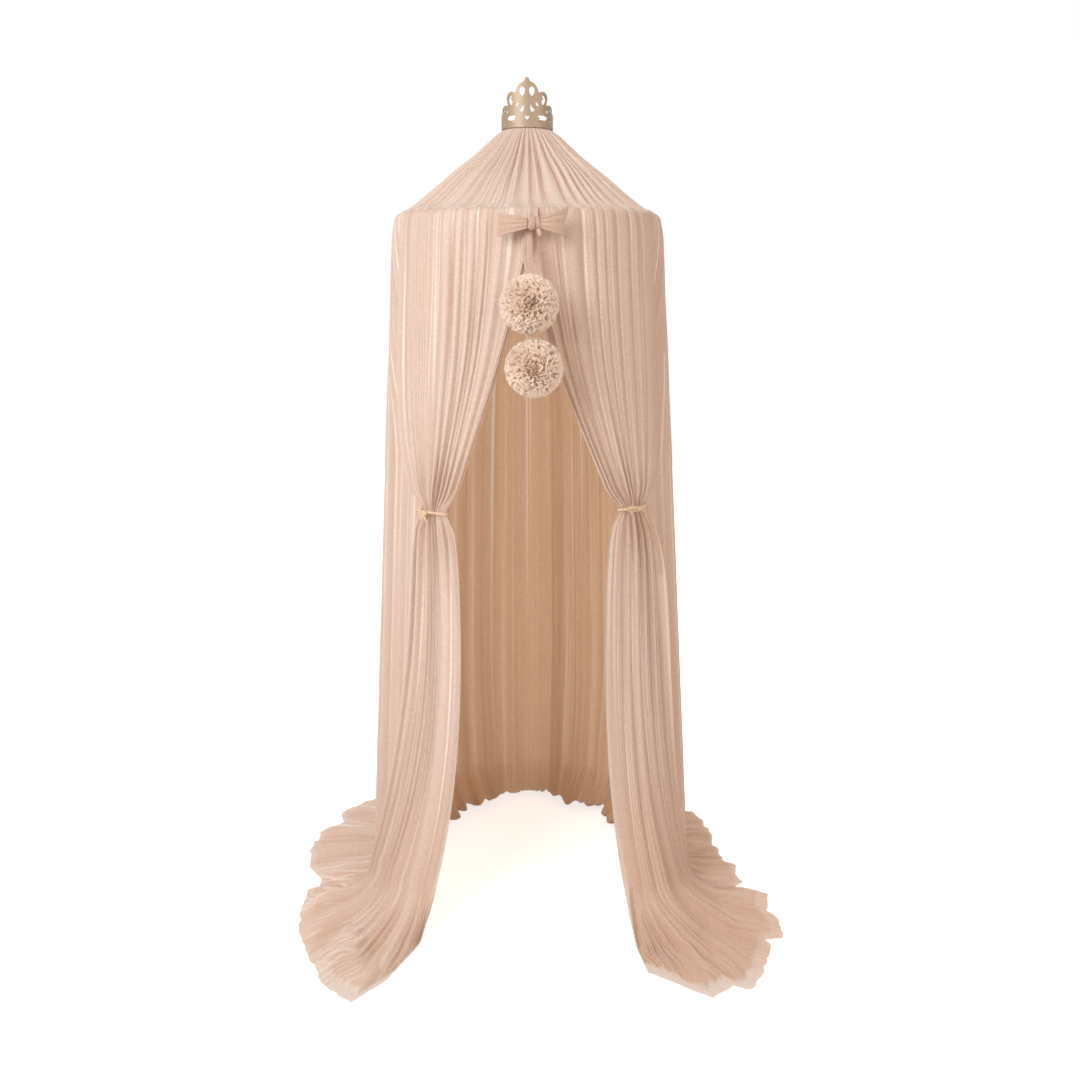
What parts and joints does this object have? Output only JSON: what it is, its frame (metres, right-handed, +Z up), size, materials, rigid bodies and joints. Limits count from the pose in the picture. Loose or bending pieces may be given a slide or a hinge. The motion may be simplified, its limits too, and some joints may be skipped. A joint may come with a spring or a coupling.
{
  "type": "bed canopy",
  "caption": "Hanging bed canopy: gathered cloth roof on a round hoop, tied-back curtains that puddle on the floor, a back drape, a pierced crown on top and a bow with pompoms.",
  "frame": {"origin": "where the ceiling hook bears inside the hanging eye, on the axis of the canopy", "axes": "+Z up along the hanging axis, -Y to the front with the bow and the doorway, +X to the right seen from the front"},
  "size_m": [1.2508, 1.2607, 2.039],
  "materials": {
    "tulle": "soft gathered tulle net, pale blush beige",
    "pompom_net": "cut tulle net, fluffy",
    "satin": "satin ribbon, soft sheen",
    "crown_metal": "satin gold beige lacquer",
    "steel": "zinc plated",
    "wood": "sanded beech",
    "hoop_plastic": "plain tube"
  },
  "bodies": {
    "canopy": {"hanging_eye": "steel", "upper_washer": "steel", "lower_washer": "steel", "eye_nut": "steel", "top_disc": "wood", "roof": "tulle", "roof_binding": "satin", "hoop_half_front": "hoop_plastic", "hoop_half_back": "hoop_plastic", "hoop_ferrule_left": "hoop_plastic", "hoop_ferrule_right": "hoop_plastic", "hoop_casing": "tulle", "left_curtain": "tulle", "back_drape_left": "tulle", "tie_band_left": "satin", "tie_bow_left": "satin", "right_curtain": "tulle", "back_drape_right": "tulle", "tie_band_right": "satin", "tie_bow_right": "satin", "bow_loop_left": "tulle", "bow_loop_right": "tulle", "bow_knot": "tulle", "tie_tail_right": "satin"},
    "crown": {"crown_band": "crown_metal"},
    "upper_pompom": {"upper_strap": "satin", "side_strap": "satin", "upper_pompom": "pompom_net"},
    "lower_pompom": {"pompom_link": "satin", "lower_pompom": "pompom_net"}
  },
  "joints": [
    {"name": "crown_lift", "type": "slide", "parent": "canopy", "child": "crown", "axis": [0, 0, 1], "range_m": [0, 0.15]},
    {"name": "upper_pompom_swing", "type": "hinge", "parent": "canopy", "child": "upper_pompom", "pos_m": [0.006, -0.356, -0.275], "axis": [0, 1, 0], "range_deg": [-25, 25]},
    {"name": "lower_pompom_swing", "type": "hinge", "parent": "upper_pompom", "child": "lower_pompom", "pos_m": [0.0075, -0.42518, -0.51509], "axis": [0, 1, 0], "range_deg": [-20, 20]}
  ]
}
